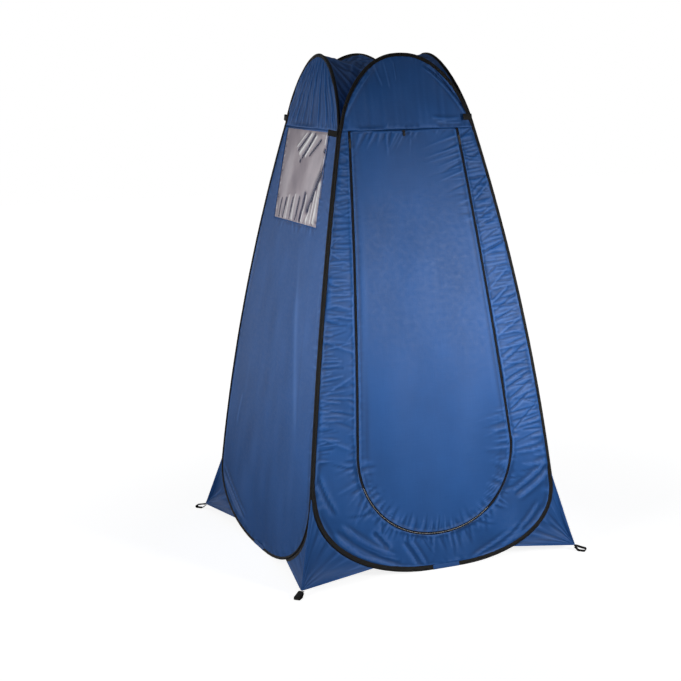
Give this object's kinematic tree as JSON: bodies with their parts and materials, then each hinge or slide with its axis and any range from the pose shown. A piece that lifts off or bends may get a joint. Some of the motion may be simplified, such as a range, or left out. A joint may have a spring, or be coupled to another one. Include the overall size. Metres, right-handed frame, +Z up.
{
  "type": "changing tent",
  "caption": "Tall pop-up changing tent with arched sprung hoops, a zipped door, a film window, corner gussets and webbing loops.",
  "frame": {"origin": "on the ground under the middle of the tent", "axes": "+Z up, the door faces -Y and the window faces -X"},
  "size_m": [1.207, 1.207, 1.8998],
  "materials": {
    "cloth": "blue coated polyester taffeta, slight sheen",
    "binding": "black woven binding tape",
    "webbing": "black woven webbing",
    "zip_tape": "black coil zip tape",
    "film": "clear soft film, glossy, seen against the dark inside",
    "steel": "blued spring steel",
    "ferrule": "crimped brass tube",
    "slider": "black, moulded",
    "pull": "black, moulded"
  },
  "bodies": {
    "front": {"front_hoop_wire": "steel", "front_wire_ferrule": "ferrule", "front_hoop_sleeve": "binding", "front_sleeve_patch": "cloth", "front_panel": "cloth", "front_top_panel": "cloth", "frame_zip_tape": "zip_tape", "front_left_gusset_front_half": "cloth", "front_right_gusset_front_half": "cloth", "front_left_stake_loop": "webbing", "front_right_stake_loop": "webbing", "front_right_guy_loop": "webbing", "roof": "cloth"},
    "left": {"left_hoop_wire": "steel", "left_wire_ferrule": "ferrule", "left_hoop_sleeve": "binding", "left_sleeve_patch": "cloth", "left_panel": "cloth", "left_top_panel": "cloth", "window_film": "film", "front_left_gusset_left_half": "cloth", "back_left_gusset_left_half": "cloth", "front_left_guy_loop": "webbing"},
    "right": {"right_hoop_wire": "steel", "right_wire_ferrule": "ferrule", "right_hoop_sleeve": "binding", "right_sleeve_patch": "cloth", "right_panel": "cloth", "right_top_panel": "cloth", "front_right_gusset_right_half": "cloth", "back_right_gusset_right_half": "cloth"},
    "back": {"back_hoop_wire": "steel", "back_wire_ferrule": "ferrule", "back_hoop_sleeve": "binding", "back_sleeve_patch": "cloth", "back_panel": "cloth", "back_top_panel": "cloth", "back_right_gusset_back_half": "cloth", "back_left_gusset_back_half": "cloth", "back_right_stake_loop": "webbing", "back_left_stake_loop": "webbing", "back_right_guy_loop": "webbing", "back_left_guy_loop": "webbing"},
    "door": {"door_panel": "cloth", "door_zip_tape": "zip_tape", "toggle_loop": "binding"},
    "slider_left": {"zip_slider_left": "slider"},
    "slider_right": {"zip_slider_right": "slider"},
    "pull_left": {"zip_pull_left": "pull"},
    "pull_right": {"zip_pull_right": "pull"},
    "toggle": {"door_toggle": "slider"}
  },
  "joints": [
    {"name": "fold_left", "type": "hinge", "parent": "front", "child": "left", "pos_m": [-0.57108, -0.57108, 0], "axis": [0.1638, 0.1638, 0.9728], "range_deg": [0, 75], "stiffness_Nm_per_rad": 3, "springref_deg": -20.05, "deforming": ["roof"]},
    {"name": "fold_right", "type": "hinge", "parent": "front", "child": "right", "pos_m": [0.53501, -0.53501, 0], "axis": [-0.1624, 0.1624, 0.9733], "range_deg": [0, 75], "deforming": ["roof"]},
    {"name": "fold_back", "type": "hinge", "parent": "right", "child": "back", "pos_m": [0.56841, 0.56841, 0], "axis": [0.1612, 0.1612, -0.9737], "range_deg": [0, 75], "deforming": ["roof"]},
    {"name": "door_swing", "type": "hinge", "parent": "front", "child": "door", "pos_m": [-0.018, -0.27821, 1.62014], "axis": [-1, 0, 0], "range_deg": [0, 95]},
    {"name": "slider_left_run", "type": "hinge", "parent": "door", "child": "slider_left", "pos_m": [-0.374, 9.81039, -0.73135], "axis": [0.9983, 0, -0.0581], "range_deg": [0, 6.1]},
    {"name": "slider_right_run", "type": "hinge", "parent": "door", "child": "slider_right", "pos_m": [0.45062, 9.88811, -0.73097], "axis": [0.9944, 0, 0.1055], "range_deg": [0, 6.05]},
    {"name": "pull_left_swing", "type": "hinge", "parent": "slider_left", "child": "pull_left", "pos_m": [-0.23919, -0.28951, 1.58692], "axis": [-0.9984, 0.0127, 0.0552], "range_deg": [0, 150]},
    {"name": "pull_right_swing", "type": "hinge", "parent": "slider_right", "child": "pull_right", "pos_m": [0.20481, -0.28951, 1.58692], "axis": [-0.9947, -0.0231, -0.1002], "range_deg": [0, 150]},
    {"name": "toggle_swing", "type": "hinge", "parent": "door", "child": "toggle", "pos_m": [-0.021, -0.28522, 1.61386], "axis": [-1, 0, 0], "range_deg": [0, 70]}
  ],
  "couplings": [
    {"joint": "fold_right", "follows": "fold_left", "ratio": 1},
    {"joint": "fold_back", "follows": "fold_left", "ratio": 1}
  ]
}
